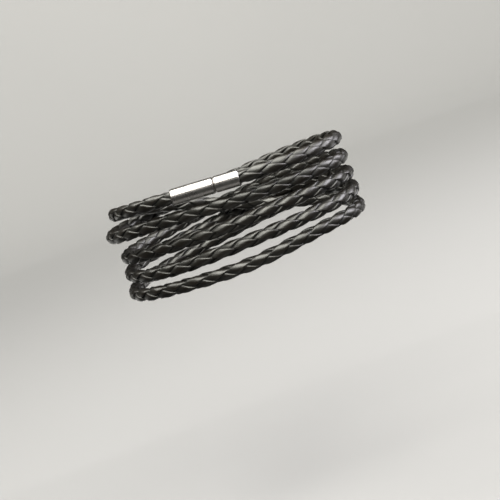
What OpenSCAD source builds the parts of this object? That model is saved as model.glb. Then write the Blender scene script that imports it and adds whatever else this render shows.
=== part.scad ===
// Wrap bracelet: one braided leather cord, wound five times round the wrist and closed by a steel barrel clasp.
// Millimetres. The wrist runs along Z, towards the elbow upwards. The clasp is at the front, towards -Y.
// An azimuth is counted in degrees from the front, growing towards +X, and goes on growing from lap to lap.

/* [Wrist] */
// Width of the hollow that the wrist fills
wrist_w = 69.6; // [66:0.1:76]
// Depth of the hollow from front to back
wrist_d = 50.8; // [46:0.1:58]
// How square the hollow is: 2 is an ellipse, more is fuller at the corners
wrist_square = 2.2; // [2:0.05:2.6]

/* [Cord] */
// Diameter over the braid's stitches
cord_d = 4.2; // [3.6:0.1:4.4]
// Length in which a strand goes once round the cord
braid_pitch = 13.1; // [12:0.1:16]
// Free space between the cord's rising end and the laps that ride over it
crossing_gap = 0.5; // [0.3:0.05:1]
// How far round the wrist, in degrees each way, a lap takes to climb over the rising end
crossing_reach = 56; // [50:1:60]

/* [Clasp] */
// Diameter of both halves
clasp_d = 4.8; // [4.6:0.1:6]
// Length of the socket, the half on the left
socket_len = 12.6; // [11:0.1:16]
// Length of the plug, the half on the right, without its pin
plug_len = 7.4; // [6:0.1:10]
// Space left between the two halves
seam_gap = 0.2; // [0.1:0.05:0.3]
// Width of the chamfer on every outer edge
clasp_chamfer = 0.25; // [0.1:0.05:0.3]
// Diameter of the bores that the cord is glued into
cord_bore_d = 3.9; // [3.7:0.05:4]
// Depth of the socket's cord bore
socket_bore = 5.5; // [4:0.1:5.6]
// Depth of the plug's cord bore
plug_bore = 4.6; // [3:0.1:5]
// Diameter of the plug's pin
pin_d = 2.5; // [2:0.1:3]
// Length of the plug's pin
pin_len = 4.4; // [3:0.1:4.8]
// Place of the clasp's middle, from the middle of the wrist towards +X
clasp_x = -4.8; // [-8:0.1:-2]
// Height of the clasp's middle
clasp_z = 12.65; // [12:0.05:13.2]
// How far the clasp turns to lie flat on the curve of the wrist, in degrees
clasp_turn = 6.8; // [4:0.1:9]
// How far the clasp drops towards its plug, in degrees
clasp_drop = 3.1; // [1:0.1:4]

/* [Hidden] */

leather = "#211d1e";
steel = "#c9c7c3";

// One row for each turn, from the elbow side down. The columns are its height at the left side, the front's left,
// the front's middle, the front's right and the right side, how far it stands off the wrist at the left side,
// how far the braid is rolled downwards at the left side, the front and the right side, in degrees, and how far
// its stitches are moved along the cord at the same three places.
LEFT_Z = 0;
LEFT_FRONT_Z = 1;
FRONT_Z = 2;
RIGHT_FRONT_Z = 3;
RIGHT_Z = 4;
LEFT_OFF = 5;
LEFT_ROLL = 6;
FRONT_ROLL = 7;
RIGHT_ROLL = 8;
LEFT_MOVE = 9;
FRONT_MOVE = 10;
RIGHT_MOVE = 11;
turns = [
    [ 12.0,  13.4,  12.4,  11.4,  10.9, -2.6,  36,  33,   5,  0.0,  0.0,  4.8],
    [  6.0,   7.2,   6.4,   5.6,   5.0,  0.6,  10,  46,  38,  3.1,  2.7,  6.2],
    [ -1.3,  -0.2,   0.0,   0.5,  -0.4, -1.5,  -8,  -5, -30,  1.8,  1.0,  1.4],
    [ -6.4,  -6.9,  -6.0,  -5.6,  -5.4, -0.7,  38,   8, -25, -2.9, -2.4, -1.9],
    [-12.3, -12.3, -12.4, -10.7, -10.7,  0.3,  25,  62,  42,  0.3,  0.4,  0.6],
];
lap = 360;
quarter = lap / 4;
laps = len(turns);

// The stations that the cord passes, in order: azimuth, height, distance off the wrist, roll of the braid and
// move of its stitches
AZIMUTH = 0;
HEIGHT = 1;
OFF = 2;
ROLL = 3;
MOVE = 4;
function middle(a, b) = (a + b) / 2;
function left_stations(row, start) = [
    [start - quarter, row[LEFT_Z], row[LEFT_OFF], row[LEFT_ROLL], row[LEFT_MOVE]],
    [start - quarter / 2, row[LEFT_FRONT_Z], row[LEFT_OFF] / 2,
     middle(row[LEFT_ROLL], row[FRONT_ROLL]), middle(row[LEFT_MOVE], row[FRONT_MOVE])]
];
function right_stations(row, start) = [
    [start, row[FRONT_Z], 0, row[FRONT_ROLL], row[FRONT_MOVE]],
    [start + quarter / 2, row[RIGHT_FRONT_Z], 0,
     middle(row[FRONT_ROLL], row[RIGHT_ROLL]), middle(row[FRONT_MOVE], row[RIGHT_MOVE])],
    [start + quarter, row[RIGHT_Z], 0, row[RIGHT_ROLL], row[RIGHT_MOVE]]
];
stations = [
    for (k = [0:laps - 1]) each concat(k == 0 ? [] : left_stations(turns[k], k * lap), right_stations(turns[k], k * lap)),
    each left_stations(turns[0], laps * lap),
    [laps * lap, turns[0][FRONT_Z], 0, turns[0][FRONT_ROLL], turns[0][FRONT_MOVE]]
];

// A cubic over a step of width h from v0 to v1, with the slopes m0 and m1 at its ends; t goes from 0 to 1
function cubic(t, h, v0, m0, v1, m1) =
    (1 + 2 * t) * pow(1 - t, 2) * v0 + t * pow(1 - t, 2) * h * m0
    + t * t * (3 - 2 * t) * v1 - t * t * (1 - t) * h * m1;

// One column of the stations, smoothly between them
function last_station(az, i = 0) =
    i == len(stations) - 2 || stations[i + 1][AZIMUTH] > az ? i : last_station(az, i + 1);
function rate(i, column) =
    (stations[i + 1][column] - stations[i][column]) / (stations[i + 1][AZIMUTH] - stations[i][AZIMUTH]);
function slope(i, column) =
    i == 0 || i == len(stations) - 1 ? 0 :
    let(before = stations[i][AZIMUTH] - stations[i - 1][AZIMUTH], after = stations[i + 1][AZIMUTH] - stations[i][AZIMUTH])
    (after * rate(i - 1, column) + before * rate(i, column)) / (before + after);
function at(az, column) =
    let(i = last_station(az), a = stations[i], b = stations[i + 1], h = b[AZIMUTH] - a[AZIMUTH])
    cubic((az - a[AZIMUTH]) / h, h, a[column], slope(i, column), b[column], slope(i + 1, column));

// Distance from the wrist's middle to its skin
function skin(az) =
    pow(pow(abs(sin(az)) / (wrist_w / 2), wrist_square) + pow(abs(cos(az)) / (wrist_d / 2), wrist_square),
        -1 / wrist_square);

// Behind the wrist the cord's last stretch rises from the fifth turn to the first, next to the skin, and each of
// the other four stretches climbs over it where their heights are the same.
function rising_end(az) = az % lap + (laps - 1) * lap;
function crossing(low, high, tries = 30) =
    let(az = middle(low, high))
    tries == 0 ? az :
    at(az, HEIGHT) > at(rising_end(az), HEIGHT) ? crossing(az, high, tries - 1) : crossing(low, az, tries - 1);
crossings = [for (k = [0:laps - 2]) crossing(k * lap + quarter, k * lap + 3 * quarter)];
climbs = [for (az = crossings) cord_d + crossing_gap - at(az, OFF) + at(rising_end(az), OFF)];
function sum(list, i = 0) = i == len(list) ? 0 : list[i] + sum(list, i + 1);
function climb(az) = sum([
    for (k = [0:laps - 2]) abs(az - crossings[k]) < crossing_reach
        ? climbs[k] * (1 + cos(180 * (az - crossings[k]) / crossing_reach)) / 2 : 0
]);

// Distance from the wrist's middle and height of the cord's centre line where it lies round the wrist
function wrapped(az) = [skin(az) + cord_d / 2 + at(az, OFF) + climb(az), at(az, HEIGHT)];

// The clasp's middle lies on the skin, and its axis is straight
clasp_len = socket_len + seam_gap + plug_len;
skin_clearance = 0.1;
clasp_az = asin(clasp_x / skin(asin(clasp_x / (wrist_d / 2))));
clasp_centre = [
    skin(clasp_az) * sin(clasp_az) - (clasp_d / 2 + skin_clearance) * sin(clasp_turn),
    -skin(clasp_az) * cos(clasp_az) - (clasp_d / 2 + skin_clearance) * cos(clasp_turn),
    clasp_z
];
clasp_axis = [cos(clasp_drop) * cos(clasp_turn), -cos(clasp_drop) * sin(clasp_turn), -sin(clasp_drop)];
function on_axis(d) = clasp_centre + d * clasp_axis;
function azimuth_of(p) = atan2(p[0], -p[1]);

// The same two numbers for the clasp's axis, where it crosses an azimuth
function straight(az) =
    let(d = -(clasp_centre[0] * cos(az) + clasp_centre[1] * sin(az))
            / (clasp_axis[0] * cos(az) + clasp_axis[1] * sin(az)),
        p = on_axis(d))
    [norm([p[0], p[1]]), p[2]];

// Azimuths of the plug's and the socket's mouths, and of the cord's two ends inside them
end_play = 0.4;
plug_mouth = azimuth_of(on_axis(clasp_len / 2));
socket_mouth = azimuth_of(on_axis(-clasp_len / 2)) + laps * lap;
cord_start = azimuth_of(on_axis(clasp_len / 2 - plug_bore + end_play));
cord_end = azimuth_of(on_axis(-clasp_len / 2 + socket_bore - end_play)) + laps * lap;

// Beside the clasp the cord bends smoothly from its axis down to the skin
easing = 55;
nudge = 0.1;
function plug_side(az) =
    let(far = plug_mouth + easing, m0 = (straight(plug_mouth + nudge) - straight(plug_mouth - nudge)) / (2 * nudge),
        m1 = (wrapped(far + nudge) - wrapped(far - nudge)) / (2 * nudge))
    cubic((az - plug_mouth) / easing, easing, straight(plug_mouth), m0, wrapped(far), m1);
function socket_side(az) =
    let(far = socket_mouth - easing, m0 = (wrapped(far + nudge) - wrapped(far - nudge)) / (2 * nudge),
        m1 = (straight(socket_mouth + nudge) - straight(socket_mouth - nudge)) / (2 * nudge))
    cubic((az - far) / easing, easing, wrapped(far), m0, straight(socket_mouth), m1);
function radius_height(az) =
    az < plug_mouth || az > socket_mouth ? straight(az) :
    az < plug_mouth + easing ? plug_side(az) :
    az > socket_mouth - easing ? socket_side(az) : wrapped(az);
function route(az) = let(p = radius_height(az)) [p[0] * sin(az), -p[0] * cos(az), p[1]];

// Length along the route, from a fine row of azimuths, and the azimuth at a given length
walk_steps = 720;
walk_az = [for (i = [0:walk_steps]) cord_start + (cord_end - cord_start) * i / walk_steps];
walk_points = [for (az = walk_az) route(az)];
function running(steps, i = 0, total = 0, done = []) =
    i == len(steps) ? concat(done, [total]) : running(steps, i + 1, total + steps[i], concat(done, [total]));
walk_len = running([for (i = [0:walk_steps - 1]) norm(walk_points[i + 1] - walk_points[i])]);
cord_len = walk_len[walk_steps];
azimuth_table = [for (i = [0:walk_steps]) [walk_len[i], walk_az[i]]];

// Rings are a quarter pitch apart, so that each lies on a crossing of the strands. Seen round the cord a stitch
// is crown, shoulder, seam, tip, seam, shoulder, over half a turn, and the next ring has its stitches a quarter
// turn further on.
sides = 12;
stitch = [1, 0.97, 0.88, 0.85, 0.88, 0.97];
rings = 2 * round(2 * cord_len / braid_pitch) + 1;
ring_step = cord_len / (rings - 1);

// Inside the clasp the braid is pressed round and thin, and it swells to full size over a short neck
press_play = 0.15;
pressed_d = cord_bore_d - 2 * press_play;
neck = 5;
function pressed(s) =
    let(outside = min(s - plug_bore + end_play, cord_len - s - socket_bore + end_play))
    1 - min(1, max(0, outside / neck));
function braid_radius(i, j, s) =
    let(free = cord_d / 2 * stitch[(j + (i % 2) * sides / 4) % len(stitch)])
    free + (pressed_d / 2 - free) * pressed(s);

function unit(v) = v / norm(v);
function ring(i) =
    let(even = i * ring_step,
        s = even + at(lookup(even, azimuth_table), MOVE),
        az = lookup(s, azimuth_table),
        centre = route(az),
        along = unit(route(az + nudge) - route(az - nudge)),
        flat_out = [sin(az), -cos(az), 0],
        out = unit(flat_out - (flat_out * along) * along),
        side = cross(along, out))
    [for (j = [0:sides - 1])
        let(angle = at(az, ROLL) + 360 * j / sides, r = braid_radius(i, j, s))
        centre + r * (cos(angle) * out + sin(angle) * side)];

// Every four-cornered patch between two rings is split along the seam that crosses it
function falling(i, j) = (j % 6 < 3) == (i % 2 == 0);
function patch(i, j) =
    let(a = i * sides + j, b = i * sides + (j + 1) % sides, c = b + sides, d = a + sides)
    falling(i, j) ? [[a, d, b], [b, d, c]] : [[a, d, c], [a, c, b]];

module cord() {
    color(leather)
        polyhedron(
            points = [for (i = [0:rings - 1]) each ring(i)],
            faces = [
                [for (j = [0:sides - 1]) j],
                for (i = [0:rings - 2], j = [0:sides - 1]) each patch(i, j),
                [for (j = [sides - 1:-1:0]) (rings - 1) * sides + j]
            ],
            convexity = 12
        );
}

module on_clasp_axis(d) {
    translate(on_axis(d)) rotate([0, 90 + clasp_drop, -clasp_turn]) children();
}

// A turned barrel along +Z with a blind bore from each end, chamfered on its outer edges
module barrel(length, near_bore, near_depth, far_bore, far_depth) {
    r = clasp_d / 2;
    c = clasp_chamfer;
    difference() {
        rotate_extrude($fn = 96)
            polygon([[0, 0], [r - c, 0], [r, c], [r, length - c], [r - c, length], [0, length]]);
        translate([0, 0, -1]) cylinder(h = near_depth + 1, d = near_bore, $fn = 72);
        translate([0, 0, length - far_depth]) cylinder(h = far_depth + 1, d = far_bore, $fn = 72);
    }
}

pin_play = 0.1;
module clasp_socket() {
    color(steel)
        on_clasp_axis(-clasp_len / 2)
            barrel(socket_len, cord_bore_d, socket_bore, pin_d + 2 * pin_play, pin_len + 2 * pin_play);
}

module clasp_plug() {
    color(steel)
        on_clasp_axis(clasp_len / 2 - plug_len)
            rotate_extrude($fn = 96) {
                r = clasp_d / 2;
                c = clasp_chamfer;
                polygon([
                    [0, -pin_len], [pin_d / 2 - c, -pin_len], [pin_d / 2, c - pin_len], [pin_d / 2, 0],
                    [r - c, 0], [r, c], [r, plug_len - c], [r - c, plug_len],
                    [cord_bore_d / 2, plug_len], [cord_bore_d / 2, plug_len - plug_bore], [0, plug_len - plug_bore]
                ]);
            }
}

cord();
clasp_socket();
clasp_plug();
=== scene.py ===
# Leather wrap bracelet: four braided leather strands that go round five times, and a polished steel clasp.
# The bracelet's lengths are in millimetres until its meshes are placed in the frame, and so is any name that
# ends in _MM. Other lengths are in metres. Angles are in degrees, except a strand's turn. The bracelet's
# axis is Z and its front is towards -Y. An azimuth is 0 at the front and grows to the right.
import bisect
import math

import bmesh
import bpy
from mathutils import Matrix, Vector


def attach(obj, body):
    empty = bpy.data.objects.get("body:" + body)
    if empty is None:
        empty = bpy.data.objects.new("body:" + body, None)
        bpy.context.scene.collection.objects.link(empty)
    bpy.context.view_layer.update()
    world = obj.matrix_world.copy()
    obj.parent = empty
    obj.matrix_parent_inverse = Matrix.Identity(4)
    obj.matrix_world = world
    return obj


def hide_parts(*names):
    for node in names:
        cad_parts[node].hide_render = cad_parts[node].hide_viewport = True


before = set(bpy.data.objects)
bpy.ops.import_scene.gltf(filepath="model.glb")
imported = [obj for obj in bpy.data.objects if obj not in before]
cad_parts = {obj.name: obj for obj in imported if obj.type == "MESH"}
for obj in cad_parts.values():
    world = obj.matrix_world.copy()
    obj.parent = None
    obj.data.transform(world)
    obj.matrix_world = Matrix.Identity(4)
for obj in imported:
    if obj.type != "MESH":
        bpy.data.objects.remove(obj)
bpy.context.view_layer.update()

MM = 0.001
BODY = "root"

# Camera: where it looks from, what it looks at, and how much it sees
CAMERA_ELEVATION = 9
CAMERA_ROLL = -20.5
CAMERA_DISTANCE_MM = 340
CAMERA_TARGET_MM = (0.5, 0, -12.9)
SENSOR_MM = 36
FRAME_WIDTH_AT_TARGET_MM = 155.4
NEAR_CLIP = 0.01
FAR_CLIP = 20

# Hollow and cord, as in the model's source. The hollow's outline is an oval with an exponent, where 2 is an
# ellipse. Where a lap crosses the rising end, it keeps a gap and moves out over a reach on both sides.
HOLLOW_W_MM = 69.6
HOLLOW_D_MM = 50.8
HOLLOW_SQUARE = 2.2
CORD_D_MM = 4.2
BRAID_PITCH_MM = 13.1
CROSSING_GAP_MM = 0.5
CROSSING_REACH = 56

# Clasp, as in the model's source
CLASP_D_MM = 4.8
SOCKET_LEN_MM = 12.6
PLUG_LEN_MM = 7.4
SEAM_GAP_MM = 0.2
CORD_BORE_D_MM = 3.9
SOCKET_BORE_MM = 5.5
PLUG_BORE_MM = 4.6
PIN_D_MM = 2.5
PIN_LEN_MM = 4.4
PIN_PLAY_MM = 0.1
CLASP_X_MM = -4.8
CLASP_Z_MM = 12.65
CLASP_TURN = 6.8
CLASP_DROP = 3.1
CLASP_CLEARANCE_MM = 0.1
END_PLAY_MM = 0.4

# One row for each turn, from the top down: height at the left side, the front's left, the front's middle,
# the front's right and the right side, distance off the hollow at the left side, how far the braid is rolled
# downwards at the left side, the front and the right side, and how far its stitches are moved along the cord
# at the same three places
LEFT_Z, LEFT_FRONT_Z, FRONT_Z, RIGHT_FRONT_Z, RIGHT_Z, LEFT_OFF = range(6)
LEFT_ROLL, FRONT_ROLL, RIGHT_ROLL, LEFT_MOVE, FRONT_MOVE, RIGHT_MOVE = range(6, 12)
TURNS = [
    [12.0, 13.4, 12.4, 11.4, 10.9, -2.6, 36, 33, 5, 0.0, 0.0, 4.8],
    [6.0, 7.2, 6.4, 5.6, 5.0, 0.6, 10, 46, 38, 3.1, 2.7, 6.2],
    [-1.3, -0.2, 0.0, 0.5, -0.4, -1.5, -8, -5, -30, 1.8, 1.0, 1.4],
    [-6.4, -6.9, -6.0, -5.6, -5.4, -0.7, 38, 8, -25, -2.9, -2.4, -1.9],
    [-12.3, -12.3, -12.4, -10.7, -10.7, 0.3, 25, 62, 42, 0.3, 0.4, 0.6],
]
LAP = 360
QUARTER = LAP / 4
LAPS = len(TURNS)


def sin_of(degrees):
    return math.sin(math.radians(degrees))


def cos_of(degrees):
    return math.cos(math.radians(degrees))


def middle(a, b):
    return (a + b) / 2


# Route of the cord. It passes stations, which have these columns.
AZIMUTH, HEIGHT, OFF, ROLL, MOVE = range(5)


def left_stations(row, start):
    """Two stations, on the left side and at the front's left."""
    return [
        [start - QUARTER, row[LEFT_Z], row[LEFT_OFF], row[LEFT_ROLL], row[LEFT_MOVE]],
        [start - QUARTER / 2, row[LEFT_FRONT_Z], row[LEFT_OFF] / 2,
         middle(row[LEFT_ROLL], row[FRONT_ROLL]), middle(row[LEFT_MOVE], row[FRONT_MOVE])],
    ]


def right_stations(row, start):
    """Three stations, from the front's middle to the right side."""
    return [
        [start, row[FRONT_Z], 0, row[FRONT_ROLL], row[FRONT_MOVE]],
        [start + QUARTER / 2, row[RIGHT_FRONT_Z], 0,
         middle(row[FRONT_ROLL], row[RIGHT_ROLL]), middle(row[FRONT_MOVE], row[RIGHT_MOVE])],
        [start + QUARTER, row[RIGHT_Z], 0, row[RIGHT_ROLL], row[RIGHT_MOVE]],
    ]


def all_stations():
    """Every station that the cord passes, from the plug to the socket."""
    passed = []
    for k, row in enumerate(TURNS):
        if k > 0:
            passed += left_stations(row, k * LAP)
        passed += right_stations(row, k * LAP)
    passed += left_stations(TURNS[0], LAPS * LAP)
    return passed + [[LAPS * LAP, TURNS[0][FRONT_Z], 0, TURNS[0][FRONT_ROLL], TURNS[0][FRONT_MOVE]]]


STATIONS = all_stations()


def cubic(t, h, v0, m0, v1, m1):
    """A cubic over a step of width h from v0 to v1, with the slopes m0 and m1 at its ends."""
    near = (1 + 2 * t) * (1 - t) ** 2 * v0 + t * (1 - t) ** 2 * h * m0
    return near + t * t * (3 - 2 * t) * v1 - t * t * (1 - t) * h * m1


def rate(i, column):
    """How fast a column changes from a station to the next."""
    a, b = STATIONS[i], STATIONS[i + 1]
    return (b[column] - a[column]) / (b[AZIMUTH] - a[AZIMUTH])


def slope(i, column):
    """How fast a column changes at a station, which is level at both ends of the cord."""
    if i in (0, len(STATIONS) - 1):
        return 0
    before = STATIONS[i][AZIMUTH] - STATIONS[i - 1][AZIMUTH]
    after = STATIONS[i + 1][AZIMUTH] - STATIONS[i][AZIMUTH]
    return (after * rate(i - 1, column) + before * rate(i, column)) / (before + after)


def station_value(azimuth, column):
    """One column of the stations, smoothly between them."""
    i = 0
    while i < len(STATIONS) - 2 and STATIONS[i + 1][AZIMUTH] <= azimuth:
        i += 1
    a, b = STATIONS[i], STATIONS[i + 1]
    h = b[AZIMUTH] - a[AZIMUTH]
    t = (azimuth - a[AZIMUTH]) / h
    return cubic(t, h, a[column], slope(i, column), b[column], slope(i + 1, column))


def hollow_radius(azimuth):
    """Distance from the bracelet's axis to the hollow's edge."""
    across = (abs(sin_of(azimuth)) / (HOLLOW_W_MM / 2)) ** HOLLOW_SQUARE
    deep = (abs(cos_of(azimuth)) / (HOLLOW_D_MM / 2)) ** HOLLOW_SQUARE
    return (across + deep) ** (-1 / HOLLOW_SQUARE)


def rising_end(azimuth):
    """The azimuth at which the cord's last stretch passes the same side of the bracelet."""
    return azimuth % LAP + (LAPS - 1) * LAP


HALVINGS = 30


def crossing(low, high):
    """Where a lap is as high as the cord's rising end, between two azimuths."""
    for _ in range(HALVINGS):
        azimuth = middle(low, high)
        if station_value(azimuth, HEIGHT) > station_value(rising_end(azimuth), HEIGHT):
            low = azimuth
        else:
            high = azimuth
    return middle(low, high)


CROSSINGS = [crossing(k * LAP + QUARTER, k * LAP + 3 * QUARTER) for k in range(LAPS - 1)]
CLIMBS = [
    CORD_D_MM + CROSSING_GAP_MM - station_value(a, OFF) + station_value(rising_end(a), OFF)
    for a in CROSSINGS
]


def climb(azimuth):
    """How far a lap rides out where it passes over the rising end."""
    total = 0
    for place, height in zip(CROSSINGS, CLIMBS):
        if abs(azimuth - place) < CROSSING_REACH:
            total += height * (1 + cos_of(LAP / 2 * (azimuth - place) / CROSSING_REACH)) / 2
    return total


def wrapped(azimuth):
    """Distance from the bracelet's axis and height of the cord's centre line, lying round the hollow."""
    out = hollow_radius(azimuth) + CORD_D_MM / 2 + station_value(azimuth, OFF) + climb(azimuth)
    return Vector((out, station_value(azimuth, HEIGHT)))


# The clasp's middle lies at the hollow's edge, and its axis is straight
CLASP_LEN_MM = SOCKET_LEN_MM + SEAM_GAP_MM + PLUG_LEN_MM
CLASP_AZIMUTH = math.degrees(
    math.asin(CLASP_X_MM / hollow_radius(math.degrees(math.asin(CLASP_X_MM / (HOLLOW_D_MM / 2)))))
)
CLASP_OFF = CLASP_D_MM / 2 + CLASP_CLEARANCE_MM
CLASP_CENTRE = Vector((
    hollow_radius(CLASP_AZIMUTH) * sin_of(CLASP_AZIMUTH) - CLASP_OFF * sin_of(CLASP_TURN),
    -hollow_radius(CLASP_AZIMUTH) * cos_of(CLASP_AZIMUTH) - CLASP_OFF * cos_of(CLASP_TURN),
    CLASP_Z_MM,
))
CLASP_AXIS = Vector((
    cos_of(CLASP_DROP) * cos_of(CLASP_TURN),
    -cos_of(CLASP_DROP) * sin_of(CLASP_TURN),
    -sin_of(CLASP_DROP),
))


def on_axis(distance):
    """A point on the clasp's axis, at a distance from its middle towards the plug."""
    return CLASP_CENTRE + distance * CLASP_AXIS


def azimuth_of(point):
    return math.degrees(math.atan2(point.x, -point.y))


def straight(azimuth):
    """Distance from the bracelet's axis and height of the clasp's axis, where it crosses an azimuth."""
    s, c = sin_of(azimuth), cos_of(azimuth)
    distance = -(CLASP_CENTRE.x * c + CLASP_CENTRE.y * s) / (CLASP_AXIS.x * c + CLASP_AXIS.y * s)
    point = on_axis(distance)
    return Vector((point.xy.length, point.z))


# Azimuths of the clasp's two mouths and of the cord's two ends inside it. The bend from a mouth to the laps
# spans the easing, and slopes are measured over a nudge each way.
PLUG_MOUTH = azimuth_of(on_axis(CLASP_LEN_MM / 2))
SOCKET_MOUTH = azimuth_of(on_axis(-CLASP_LEN_MM / 2)) + LAPS * LAP
CORD_START = azimuth_of(on_axis(CLASP_LEN_MM / 2 - PLUG_BORE_MM + END_PLAY_MM))
CORD_END = azimuth_of(on_axis(-CLASP_LEN_MM / 2 + SOCKET_BORE_MM - END_PLAY_MM)) + LAPS * LAP
EASING = 55
NUDGE = 0.1


def change(line, azimuth):
    """How fast a line's distance and height change with the azimuth."""
    return (line(azimuth + NUDGE) - line(azimuth - NUDGE)) / (2 * NUDGE)


def bridge(azimuth, first, from_line, last, to_line):
    """A smooth bend from one line to another, between two azimuths."""
    width = last - first
    return cubic(
        (azimuth - first) / width, width,
        from_line(first), change(from_line, first), to_line(last), change(to_line, last),
    )


def route(azimuth):
    """The cord's centre line, in millimetres."""
    if azimuth < PLUG_MOUTH or azimuth > SOCKET_MOUTH:
        out, height = straight(azimuth)
    elif azimuth < PLUG_MOUTH + EASING:
        out, height = bridge(azimuth, PLUG_MOUTH, straight, PLUG_MOUTH + EASING, wrapped)
    elif azimuth > SOCKET_MOUTH - EASING:
        out, height = bridge(azimuth, SOCKET_MOUTH - EASING, wrapped, SOCKET_MOUTH, straight)
    else:
        out, height = wrapped(azimuth)
    return Vector((out * sin_of(azimuth), -out * cos_of(azimuth), height))


WALK_STEPS = 3600


def walk():
    """Lengths from the cord's start and their azimuths, in fine steps."""
    azimuths = [CORD_START + (CORD_END - CORD_START) * i / WALK_STEPS for i in range(WALK_STEPS + 1)]
    points = [route(a) for a in azimuths]
    lengths = [0.0]
    for before, after in zip(points, points[1:]):
        lengths.append(lengths[-1] + (after - before).length)
    return lengths, azimuths


WALK_LENGTHS, WALK_AZIMUTHS = walk()
CORD_LEN_MM = WALK_LENGTHS[-1]
PITCHES = round(CORD_LEN_MM / BRAID_PITCH_MM)
PITCH_MM = CORD_LEN_MM / PITCHES

# Strand of the braid. At every half pitch it lies over another strand, and midway between these places it
# passes under one. Each row of three values is for under, between and over. The curl is one over the radius
# that the strand is bent to across its width, and is never quite none. The exponent brings its corners out.
RINGS_PER_PITCH = 48
STRAND_SIDES = 16
STRAND_WIDTH_MM = (2.45, 2.6, 2.8)
STRAND_THICKNESS_MM = (0.95, 1.0, 1.15)
STRAND_CURL = (0.0, 0.22, 0.44)
STRAND_SQUARE = 0.66
LEAST_CURL = 1e-4

# Its centre line: how far it is from the cord's middle at its nearest and its farthest, how steeply it dives
# from one to the other, how long it lingers over, how far its face leans ahead between over and under, and
# the small turn that its direction is measured over
CORE_REACH_MM = 0.5
CROWN_REACH_MM = 1.525
DIVE = 3
LINGER = 0.5
TILT = 15
TURN_STEP = 0.01


def eased(values, place):
    """A smooth value for a place from -1, under, to 1, over."""
    under, between, over = values
    return between + place * (over - under) / 2 + place * place * ((over + under) / 2 - between)


def strand_centre(turn):
    """A strand's centre line on the straight braid, for a turn, as distances along, out and sideways."""
    along = PITCH_MM * (turn + LINGER * math.sin(2 * turn)) / (2 * math.pi)
    reach = CORE_REACH_MM + (CROWN_REACH_MM - CORE_REACH_MM) * abs(math.cos(turn)) ** DIVE
    return Vector((along, reach * math.cos(turn), reach * math.sin(turn)))


STRAND_POINTS = [strand_centre(2 * math.pi * i / RINGS_PER_PITCH) for i in range(RINGS_PER_PITCH + 1)]
STRAND_PITCH_MM = sum((b - a).length for a, b in zip(STRAND_POINTS, STRAND_POINTS[1:]))


def squared(value):
    """A sine or cosine that brings an oval's corners out."""
    return math.copysign(abs(value) ** STRAND_SQUARE, value)


def strand_section(turn):
    """The points of a strand's surface round its centre line, for a turn."""
    centre = strand_centre(turn)
    ahead = (strand_centre(turn + TURN_STEP) - strand_centre(turn - TURN_STEP)).normalized()
    facing = turn + math.radians(TILT) * math.sin(2 * turn)
    face = Vector((0, math.cos(facing), math.sin(facing)))
    face = (face - face.dot(ahead) * ahead).normalized()
    across = ahead.cross(face)
    place = math.cos(2 * turn)
    width = eased(STRAND_WIDTH_MM, place)
    thickness = eased(STRAND_THICKNESS_MM, place)
    curl = max(eased(STRAND_CURL, place), LEAST_CURL)
    points = []
    for corner in range(STRAND_SIDES):
        angle = 2 * math.pi * corner / STRAND_SIDES - math.pi / 2
        bend = curl * width / 2 * squared(math.cos(angle))
        proud = thickness / 2 * squared(math.sin(angle))
        sideways = math.sin(bend) / curl + proud * math.sin(bend)
        outwards = (math.cos(bend) - 1) / curl + proud * math.cos(bend)
        points.append(centre + sideways * across + outwards * face)
    return points


def azimuth_at(length):
    """The azimuth that the cord has reached after a length."""
    step = min(max(bisect.bisect(WALK_LENGTHS, length) - 1, 0), WALK_STEPS - 1)
    part = (length - WALK_LENGTHS[step]) / (WALK_LENGTHS[step + 1] - WALK_LENGTHS[step])
    return WALK_AZIMUTHS[step] + part * (WALK_AZIMUTHS[step + 1] - WALK_AZIMUTHS[step])


def cord_frames():
    """Centre, outward and sideward direction of the rolled cord, at every ring of its stitches."""
    frames = []
    rings = PITCHES * RINGS_PER_PITCH
    for i in range(rings + 1):
        even = CORD_LEN_MM * i / rings
        azimuth = azimuth_at(even + station_value(azimuth_at(even), MOVE))
        along = (route(azimuth + NUDGE) - route(azimuth - NUDGE)).normalized()
        flat_out = Vector((sin_of(azimuth), -cos_of(azimuth), 0))
        out = (flat_out - flat_out.dot(along) * along).normalized()
        side = along.cross(out)
        roll = station_value(azimuth, ROLL)
        frames.append((
            route(azimuth),
            cos_of(roll) * out + sin_of(roll) * side,
            cos_of(roll) * side - sin_of(roll) * out,
        ))
    return frames


CORD_FRAMES = cord_frames()

# The braid is squeezed over a neck to fit the clasp's bores, with a little play
PRESS_PLAY_MM = 0.05
NECK_MM = 1.5


def pressed(length):
    """What part of its thickness the braid keeps, at a length along the cord."""
    from_plug = length - PLUG_BORE_MM + END_PLAY_MM
    from_socket = CORD_LEN_MM - length - SOCKET_BORE_MM + END_PLAY_MM
    share = 1 - min(1, max(0, min(from_plug, from_socket) / NECK_MM))
    return 1 - share * (1 - (CORD_BORE_D_MM - 2 * PRESS_PLAY_MM) / CORD_D_MM)


def carried(point):
    """A point of the straight braid, brought to its place along the cord's route."""
    length = min(max(point.x, 0), CORD_LEN_MM)
    ring = length / CORD_LEN_MM * (len(CORD_FRAMES) - 1)
    before = min(int(ring), len(CORD_FRAMES) - 2)
    centre, out, side = (
        a.lerp(b, ring - before) for a, b in zip(CORD_FRAMES[before], CORD_FRAMES[before + 1])
    )
    return centre + pressed(length) * (point.y * out + point.z * side)


# Objects
def finished_mesh(bm, name):
    """The mesh of a bmesh, smoothly shaded."""
    for face in bm.faces:
        face.smooth = True
    mesh = bpy.data.meshes.new(name)
    bm.to_mesh(mesh)
    bm.free()
    return mesh


def new_object(name, data):
    thing = bpy.data.objects.new(name, data)
    bpy.context.scene.collection.objects.link(thing)
    return thing


def new_piece(name, bm, material):
    """A finished piece of the bracelet, riding on its body."""
    piece = new_object(name, finished_mesh(bm, name))
    piece.data.materials.append(material)
    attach(piece, BODY)
    return piece


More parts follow.
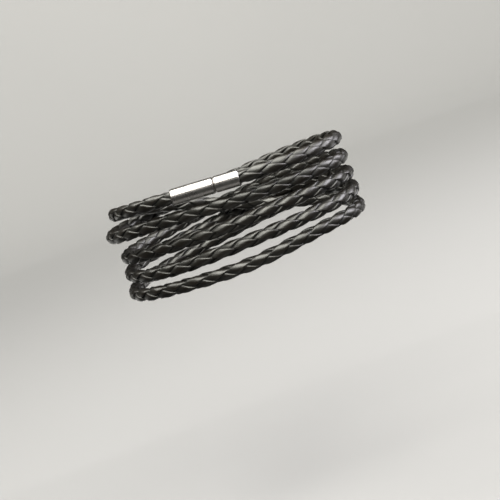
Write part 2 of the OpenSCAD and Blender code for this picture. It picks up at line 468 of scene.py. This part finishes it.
def face_outwards(bm):
    """Turns every face of a closed shell outwards."""
    bmesh.ops.recalc_face_normals(bm, faces=bm.faces)
    if bm.calc_volume(signed=True) < 0:
        bmesh.ops.reverse_faces(bm, faces=bm.faces)


# Vertices nearer than these are joined: where the straight braid's pitches meet, well over the rounding at
# its far end, and where a spun outline meets the axis, in the outline's own unit
PITCH_JOIN_MM = 1e-3
AXIS_JOIN = 1e-5


def spun_surface(points, steps, first=0, last=LAP):
    """A surface spun round the Z axis from points of (radius, height), from one azimuth to another."""
    bm = bmesh.new()
    s, c = sin_of(first), cos_of(first)
    verts = [bm.verts.new((radius * s, -radius * c, height)) for radius, height in points]
    edges = [bm.edges.new(pair) for pair in zip(verts, verts[1:])]
    bmesh.ops.spin(
        bm, geom=verts + edges, cent=(0, 0, 0), axis=(0, 0, 1), angle=math.radians(last - first),
        steps=steps, use_merge=last - first == LAP,
    )
    bmesh.ops.remove_doubles(bm, verts=bm.verts, dist=AXIS_JOIN)
    bmesh.ops.recalc_face_normals(bm, faces=bm.faces)
    return bm


def map_lace(bm, ring_of, corner_of):
    """A UV map that runs once along the strand for every pitch, and once round it from its underside."""
    lace = bm.loops.layers.uv.new("lace")
    for face in bm.faces:
        closes = {loop.vert[corner_of] for loop in face.loops} == {0, STRAND_SIDES - 1}
        for loop in face.loops:
            corner = loop.vert[corner_of]
            if closes and corner == 0:
                corner = STRAND_SIDES
            loop[lace].uv = (loop.vert[ring_of] / RINGS_PER_PITCH, corner / STRAND_SIDES)


def strand_unit(hand, start, quarter_turn):
    """One pitch of a strand on the straight braid, its rings extruded one after another."""
    bm = bmesh.new()
    corner_of = bm.verts.layers.int.new("corner")
    ring_of = bm.verts.layers.int.new("ring")
    ring = bmesh.ops.create_circle(bm, cap_ends=False, segments=STRAND_SIDES, radius=CORD_D_MM)["verts"]
    for corner, vert in enumerate(ring):
        vert[corner_of] = corner
    edges = list(bm.edges)
    for i in range(RINGS_PER_PITCH + 1):
        if i > 0:
            grown = bmesh.ops.extrude_edge_only(bm, edges=edges)["geom"]
            ring = [g for g in grown if isinstance(g, bmesh.types.BMVert)]
            edges = [g for g in grown if isinstance(g, bmesh.types.BMEdge) and g.is_boundary]
        section = strand_section(2 * math.pi * (start + i / RINGS_PER_PITCH))
        for vert in ring:
            vert.co = section[vert[corner_of]]
            vert[ring_of] = i
    map_lace(bm, ring_of, corner_of)
    bmesh.ops.translate(bm, verts=bm.verts, vec=(-start * PITCH_MM, 0, 0))
    bmesh.ops.scale(bm, verts=bm.verts, vec=(1, 1, hand))
    bmesh.ops.rotate(bm, verts=bm.verts, matrix=Matrix.Rotation(-quarter_turn * math.pi / 2, 3, "X"))
    return bm


def repeated(bm):
    """The one-pitch unit set end to end over the whole cord."""
    unit = new_object("unit", finished_mesh(bm, "unit"))
    array = unit.modifiers.new("pitches", "ARRAY")
    array.count = PITCHES
    array.use_relative_offset = False
    array.use_constant_offset = True
    array.constant_offset_displace = (PITCH_MM, 0, 0)
    array.offset_u = 1
    array.use_merge_vertices = True
    array.merge_threshold = PITCH_JOIN_MM
    whole = bpy.data.meshes.new_from_object(unit.evaluated_get(bpy.context.evaluated_depsgraph_get()))
    bm = bmesh.new()
    bm.from_mesh(whole)
    bpy.data.meshes.remove(unit.data)
    bpy.data.meshes.remove(whole)
    return bm


def make_strand(name, hand, start, quarter_turn, material):
    """One strand of the braid, from the plug's bore five times round to the socket's."""
    bm = repeated(strand_unit(hand, start, quarter_turn))
    bmesh.ops.holes_fill(bm, edges=[e for e in bm.edges if e.is_boundary], sides=STRAND_SIDES)
    crown = bm.verts.layers.float.new("crown")
    for vert in bm.verts:
        vert[crown] = vert.co.yz.length / (CORD_D_MM / 2)
        vert.co = MM * carried(vert.co)
    face_outwards(bm)
    piece = new_piece(name, bm, material)
    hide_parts("cord")


# Materials
def linear(hex_colour):
    """An sRGB hex colour as a linear one."""
    values = [int(hex_colour[i:i + 2], 16) / 255 for i in (1, 3, 5)]
    return [v / 12.92 if v <= 0.04045 else ((v + 0.055) / 1.055) ** 2.4 for v in values] + [1]


def new_material(name, values):
    """A material with these constant values on its shader's own sockets."""
    material = bpy.data.materials.new(name)
    material.use_nodes = True
    for socket, value in values.items():
        material.node_tree.nodes["Principled BSDF"].inputs[socket].default_value = value
    return material


def add_node(material, kind, values=(), links=(), **settings):
    """A node with its settings, its sockets' values, and links to its sockets, as (socket, node, output)."""
    node = material.node_tree.nodes.new(kind)
    for name, value in settings.items():
        setattr(node, name, value)
    for socket, value in dict(values).items():
        node.inputs[socket].default_value = value
    for socket, source, output in links:
        material.node_tree.links.new(source.outputs[output], node.inputs[socket])
    return node


def connect(material, source, output, socket):
    """Links a node to the material's shader."""
    shader = material.node_tree.nodes["Principled BSDF"]
    material.node_tree.links.new(source.outputs[output], shader.inputs[socket])


# Sockets that go by number: a Mix node's factor, its two inputs and its output for numbers and for colours,
# and the two inputs of a Vector Math node
FACTOR = 0
NUMBER_A, NUMBER_B, NUMBER_OUT = 2, 3, 0
COLOUR_A, COLOUR_B, COLOUR_OUT = 6, 7, 2
VECTOR_A, VECTOR_B = 0, 1

# The noise textures keep mostly between these two values
NOISE_RANGE = {"From Min": 0.3, "From Max": 0.7}

# Sizes of the leather's marks. A pebble of the grain is rounded off over the crease's share of its size, and
# the grooves and crowns of the braid are at these shares of the cord's radius.
GRAIN_MM = 0.22
PULL_MARK_MM = (5, 0.35)
BLOTCH_MM = 5
WAX_BLOOM_MM = 1.3
STRAND_GIRTH_MM = 7
GRAIN_DEPTH_MM = 0.018
PULL_MARK_DEPTH_MM = 0.03
CREASE_SHARE = 0.35
GROOVE_HEIGHT = 0.72
CROWN_HEIGHT = 0.95
GROOVE_ROUGHNESS = 0.62


def black_leather():
    """Dyed right through, so its cut edges are as black as its face. The wax gives the crowns a soft shine,
    broken by the fine grain of the hide and by faint lengthwise marks from pulling the lace tight. The
    grooves between the strands stay duller, and their colour is painted darker as painted shade."""
    material = new_material("drum-dyed cowhide, cut into lace and waxed", {
        "Specular IOR Level": 0.6,
        "Specular Tint": linear("#fdfffa"),
        "Coat Weight": 0.4,
        "Coat Roughness": 0.25,
    })
    lace = add_node(material, "ShaderNodeUVMap", uv_map="lace")
    in_mm = add_node(
        material, "ShaderNodeMapping", {"Scale": (STRAND_PITCH_MM, STRAND_GIRTH_MM, 1)},
        [("Vector", lace, "UV")])
    crown = add_node(material, "ShaderNodeAttribute", attribute_name="crown")
    height = add_node(
        material, "ShaderNodeMapRange", {"From Min": GROOVE_HEIGHT, "From Max": CROWN_HEIGHT},
        [("Value", crown, "Fac")])

    blotches = add_node(
        material, "ShaderNodeTexNoise", {"Scale": 1 / BLOTCH_MM, "Detail": 3}, [("Vector", in_mm, "Vector")])
    dye = add_node(
        material, "ShaderNodeMix", {COLOUR_A: linear("#0a0804"), COLOUR_B: linear("#150f09")},
        [(FACTOR, blotches, "Fac")], data_type="RGBA")
    # Painted shade: the dye goes darker towards the grooves between the strands, as the crown mask falls.
    shaded = add_node(
        material, "ShaderNodeMix", {COLOUR_A: linear("#060401")},
        [(FACTOR, height, "Result"), (COLOUR_B, dye, COLOUR_OUT)], data_type="RGBA")
    connect(material, shaded, COLOUR_OUT, "Base Color")

    bloom = add_node(
        material, "ShaderNodeTexNoise", {"Scale": 1 / WAX_BLOOM_MM, "Detail": 2},
        [("Vector", in_mm, "Vector")])
    waxed = add_node(
        material, "ShaderNodeMapRange", {**NOISE_RANGE, "To Min": 0.31, "To Max": 0.43},
        [("Value", bloom, "Fac")])
    dulled = add_node(
        material, "ShaderNodeMix", {NUMBER_A: GROOVE_ROUGHNESS},
        [(FACTOR, height, "Result"), (NUMBER_B, waxed, "Result")])
    connect(material, dulled, NUMBER_OUT, "Roughness")

    grain = add_node(
        material, "ShaderNodeTexVoronoi", {"Scale": 1 / GRAIN_MM}, [("Vector", in_mm, "Vector")],
        feature="DISTANCE_TO_EDGE")
    pebbles = add_node(
        material, "ShaderNodeMapRange", {"From Max": CREASE_SHARE}, [("Value", grain, "Distance")],
        interpolation_type="SMOOTHSTEP")
    grain_bump = add_node(
        material, "ShaderNodeBump", {"Distance": GRAIN_DEPTH_MM * MM}, [("Height", pebbles, "Result")])
    pulled = add_node(
        material, "ShaderNodeMapping", {"Scale": [1 / size for size in PULL_MARK_MM] + [1]},
        [("Vector", in_mm, "Vector")])
    marks = add_node(
        material, "ShaderNodeTexNoise", {"Scale": 1, "Detail": 2}, [("Vector", pulled, "Vector")])
    mark_bump = add_node(
        material, "ShaderNodeBump", {"Distance": PULL_MARK_DEPTH_MM * MM},
        [("Height", marks, "Fac"), ("Normal", grain_bump, "Normal")])
    connect(material, mark_bump, "Normal", "Normal")
    return material


# Sizes of the steel's marks. Real turning lines are finer, and are drawn this coarse so that they show.
TURNING_MM = 0.35
RUB_MM = 2.5
TURNING_DEPTH_MM = 0.0006


def polished_steel():
    """Turned on a lathe and then polished: a near mirror with faint rings round the barrel, which blur the
    reflections a little along it, and softer patches where it has been rubbed in wear."""
    material = new_material(
        "stainless steel, turned and polished", {"Base Color": linear("#b5b2af"), "Metallic": 1})
    place = add_node(material, "ShaderNodeTexCoord")
    along = add_node(
        material, "ShaderNodeVectorMath", {VECTOR_B: CLASP_AXIS}, [(VECTOR_A, place, "Object")],
        operation="DOT_PRODUCT")
    rings = add_node(
        material, "ShaderNodeTexNoise", {"Scale": 1 / (TURNING_MM * MM), "Detail": 3},
        [("W", along, "Value")], noise_dimensions="1D")
    ring_bump = add_node(
        material, "ShaderNodeBump", {"Distance": TURNING_DEPTH_MM * MM}, [("Height", rings, "Fac")])
    connect(material, ring_bump, "Normal", "Normal")
    rubs = add_node(
        material, "ShaderNodeTexNoise", {"Scale": 1 / (RUB_MM * MM), "Detail": 4},
        [("Vector", place, "Object")])
    worn = add_node(
        material, "ShaderNodeMapRange", {**NOISE_RANGE, "To Min": 0.25, "To Max": 0.33},
        [("Value", rubs, "Fac")])
    connect(material, worn, "Result", "Roughness")
    return material


LEATHER = black_leather()
STEEL = polished_steel()

# The four strands: which way each one turns, where in its pitch it starts, and how many quarter turns round
# the cord it is set
STRANDS = [
    ("strand_1", 1, 0, 0),
    ("strand_2", 1, 0.5, 0),
    ("strand_3", -1, 0.75, 1),
    ("strand_4", -1, 0.25, 1),
]
for strand_name, strand_hand, strand_start, strand_quarters in STRANDS:
    make_strand(strand_name, strand_hand, strand_start, strand_quarters, LEATHER)

# Clasp
CHAMFER_MM = 0.25
EDGE_RADIUS_MM = 0.05
EDGE_STEPS = 2
SHARP_ANGLE = 30
TURNED_STEPS = 96


def make_barrel(name, profile, start, replaced):
    """Half of the clasp, turned from its profile of (distance along, radius). The profile's zero is at
    start, a distance from the clasp's middle towards the plug."""
    bm = spun_surface([(radius, along) for along, radius in profile], TURNED_STEPS)
    sharp = [e for e in bm.edges if e.is_manifold and e.calc_face_angle() > math.radians(SHARP_ANGLE)]
    bmesh.ops.bevel(
        bm, geom=sharp, offset=EDGE_RADIUS_MM, offset_type="OFFSET", affect="EDGES", segments=EDGE_STEPS,
        profile=0.5, material=-1, clamp_overlap=True,
    )
    turned = CLASP_AXIS.to_track_quat("Z", "Y").to_matrix().to_4x4()
    placed = Matrix.Scale(MM, 4) @ Matrix.Translation(on_axis(start)) @ turned
    bmesh.ops.transform(bm, verts=bm.verts, matrix=placed)
    face_outwards(bm)
    piece = new_piece(name, bm, STEEL)
    weighted = piece.modifiers.new("flat faces", "WEIGHTED_NORMAL")
    weighted.keep_sharp = True
    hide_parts(replaced)


OUTER = CLASP_D_MM / 2
PIN_BORE_R = PIN_D_MM / 2 + PIN_PLAY_MM
PIN_BORE_MM = PIN_LEN_MM + 2 * PIN_PLAY_MM
make_barrel("socket_barrel", [
    (SOCKET_BORE_MM, 0),
    (SOCKET_BORE_MM, CORD_BORE_D_MM / 2),
    (0, CORD_BORE_D_MM / 2),
    (0, OUTER - CHAMFER_MM),
    (CHAMFER_MM, OUTER),
    (SOCKET_LEN_MM - CHAMFER_MM, OUTER),
    (SOCKET_LEN_MM, OUTER - CHAMFER_MM),
    (SOCKET_LEN_MM, PIN_BORE_R),
    (SOCKET_LEN_MM - PIN_BORE_MM, PIN_BORE_R),
    (SOCKET_LEN_MM - PIN_BORE_MM, 0),
], -CLASP_LEN_MM / 2, "clasp_socket")
make_barrel("plug_barrel", [
    (-PIN_LEN_MM, 0),
    (-PIN_LEN_MM, PIN_D_MM / 2 - CHAMFER_MM),
    (CHAMFER_MM - PIN_LEN_MM, PIN_D_MM / 2),
    (0, PIN_D_MM / 2),
    (0, OUTER - CHAMFER_MM),
    (CHAMFER_MM, OUTER),
    (PLUG_LEN_MM - CHAMFER_MM, OUTER),
    (PLUG_LEN_MM, OUTER - CHAMFER_MM),
    (PLUG_LEN_MM, CORD_BORE_D_MM / 2),
    (PLUG_LEN_MM - PLUG_BORE_MM, CORD_BORE_D_MM / 2),
    (PLUG_LEN_MM - PLUG_BORE_MM, 0),
], CLASP_LEN_MM / 2 - PLUG_LEN_MM, "clasp_plug")

# Studio: a pale floor and walls, soft boxes, and things that only reflections see
FLOOR_Z = -0.09
FLOOR_R = 1.2
COVE_R = 0.8
COVE_STEPS = 16
WALL_TOP = 1.4
BACKDROP_STEPS = 96
BACKDROP_PAINT = "#828282"
BACKDROP_ROUGHNESS = 0.9
DARK_PAINT = "#0a0a0a"
PAPER_ROUGHNESS = 1
WARM_WHITE = "#fffdf6"
COOL_WHITE = "#fbf8ff"
WORLD_GREY = 0.8
WORLD_STRENGTH = 0.08

# Soft boxes: place, the point that they shine at, width, depth, radiance, colour, and the angle that their
# grid leaves
SOFT_BOXES = {
    "overhead_soft_box": ((0.1, -0.25, 0.68), (0.1, 0, 0), 0.9, 1.2, 9.5, WARM_WHITE, 130),
    "window_soft_box": ((0.8, 0, 0.35), (0, 0, 0), 0.8, 0.5, 10, COOL_WHITE, 90),
    "left_soft_box": ((-0.55, 0.15, 0.7), (0, 0, 0), 0.35, 0.4, 9, WARM_WHITE, 120),
}

# Wall lights, one for each side and without a grid: how far out and how high they hang and shine, their size
# and their radiance
SIDES = {"back": (0, 1), "left": (-1, 0), "right": (1, 0), "front": (0, -1)}
WALL_LIGHT_R = 1.1
WALL_LIGHT_Z = 1.2
WALL_AIM_R = 2.2
WALL_AIM_Z = 0.3
WALL_LIGHT_W = 1.6
WALL_LIGHT_D = 0.4
WALL_RADIANCE = 22
NO_GRID = 180

# Cards that lie under the bracelet: centre, width, depth and paint. The dark one keeps the undersides from
# going as pale as the floor, and the small grey one on it lightens the steel's lower half.
CARD_Z = -0.085
CARDS = {
    "dark_card": ((0, -0.45, CARD_Z), 1.2, 1.1, DARK_PAINT),
    "grey_card": ((-0.015, -0.0625, CARD_Z + 0.001), 0.09, 0.085, "#525252"),
}

# Screens that stand round the bracelet: radius, bottom, top, first and last azimuth, and paint. The dark one
# goes right round and keeps the edges of the steel and the leather dark in front of the pale walls. The
# lighter strip gives the steel a soft grey step under its highlight.
SCREENS = {
    "dark_screen": (1, CARD_Z, 0.8, 0, LAP, DARK_PAINT),
    "strip_screen": (0.6, 0.02, 0.3, -24, -1, "#8c8c8c"),
}
SCREEN_STEPS = 48


def make_camera():
    """A camera in front of the bracelet, a little above it and rolled."""
    back = Vector((0, -cos_of(CAMERA_ELEVATION), sin_of(CAMERA_ELEVATION)))
    right = Vector((1, 0, 0))
    up = back.cross(right)
    x = right * cos_of(CAMERA_ROLL) + up * sin_of(CAMERA_ROLL)
    y = up * cos_of(CAMERA_ROLL) - right * sin_of(CAMERA_ROLL)
    data = bpy.data.cameras.new("camera")
    data.sensor_width = SENSOR_MM
    data.lens = SENSOR_MM * CAMERA_DISTANCE_MM / FRAME_WIDTH_AT_TARGET_MM
    data.clip_start = NEAR_CLIP
    data.clip_end = FAR_CLIP
    camera = new_object("camera", data)
    place = Vector(CAMERA_TARGET_MM) + back * CAMERA_DISTANCE_MM
    turned = Matrix((x, y, back)).transposed().to_4x4()
    camera.matrix_world = Matrix.Translation(place * MM) @ turned
    bpy.context.scene.camera = camera


def new_stage(name, bm, finish, paint, roughness):
    """A matt thing of the studio, which isn't part of the bracelet and has no highlights of its own."""
    thing = new_object(name, finished_mesh(bm, name))
    thing.data.materials.append(new_material(finish, {"Base Color": linear(paint), "Roughness": roughness}))
    return thing


def make_backdrop():
    """A round floor whose rim curves up into a wall, so that no horizon shows from any side."""
    points = [(0, FLOOR_Z), (FLOOR_R, FLOOR_Z)]
    for i in range(1, COVE_STEPS + 1):
        a = QUARTER * i / COVE_STEPS
        points.append((FLOOR_R + COVE_R * sin_of(a), FLOOR_Z + COVE_R * (1 - cos_of(a))))
    points.append((FLOOR_R + COVE_R, WALL_TOP))
    bm = spun_surface(points, BACKDROP_STEPS)
    new_stage("backdrop", bm, "studio backdrop, matt paint", BACKDROP_PAINT, BACKDROP_ROUGHNESS)


def make_light(name, place, aim, width, depth, radiance, colour, grid):
    """A soft box that shines at a point, as bright as its radiance says whatever its size and grid."""
    data = bpy.data.lights.new(name, "AREA")
    data.shape = "RECTANGLE"
    data.size = width
    data.size_y = depth
    data.spread = math.radians(grid)
    half_spread = data.spread / 2
    data.energy = radiance * math.pi * width * depth * (1 - half_spread / math.tan(half_spread))
    data.color = linear(colour)[:3]
    light = new_object(name, data)
    light.location = place
    light.rotation_mode = "QUATERNION"
    light.rotation_quaternion = (Vector(aim) - Vector(place)).to_track_quat("-Z", "Y")


def make_sheet(name, bm, paint):
    """A sheet of paper that only reflections see."""
    sheet = new_stage(name, bm, name + ", matt paper", paint, PAPER_ROUGHNESS)
    sheet.visible_camera = False
    sheet.visible_diffuse = False
    sheet.visible_shadow = False


def make_card(name, centre, width, depth, paint):
    """A card that lies flat."""
    bm = bmesh.new()
    bmesh.ops.create_grid(bm, x_segments=1, y_segments=1, size=0.5)
    bmesh.ops.scale(bm, verts=bm.verts, vec=(width, depth, 1))
    bmesh.ops.translate(bm, verts=bm.verts, vec=centre)
    make_sheet(name, bm, paint)


def make_screen(name, radius, bottom, top, first, last, paint):
    """A screen that stands upright from one azimuth to another."""
    bm = spun_surface([(radius, bottom), (radius, top)], SCREEN_STEPS, first, last)
    make_sheet(name, bm, paint)


make_camera()
make_backdrop()
for light_name, light in SOFT_BOXES.items():
    make_light(light_name, *light)
for side, (x, y) in SIDES.items():
    make_light(
        side + "_wall_light", (WALL_LIGHT_R * x, WALL_LIGHT_R * y, WALL_LIGHT_Z),
        (WALL_AIM_R * x, WALL_AIM_R * y, WALL_AIM_Z), WALL_LIGHT_W, WALL_LIGHT_D, WALL_RADIANCE, WARM_WHITE,
        NO_GRID,
    )
for card_name, card in CARDS.items():
    make_card(card_name, *card)
for screen_name, screen in SCREENS.items():
    make_screen(screen_name, *screen)
world = bpy.data.worlds.new("studio")
bpy.context.scene.world = world
world.use_nodes = True
background = world.node_tree.nodes["Background"]
background.inputs["Color"].default_value = (WORLD_GREY, WORLD_GREY, WORLD_GREY, 1)
background.inputs["Strength"].default_value = WORLD_STRENGTH
bpy.context.scene.view_settings.view_transform = "Standard"
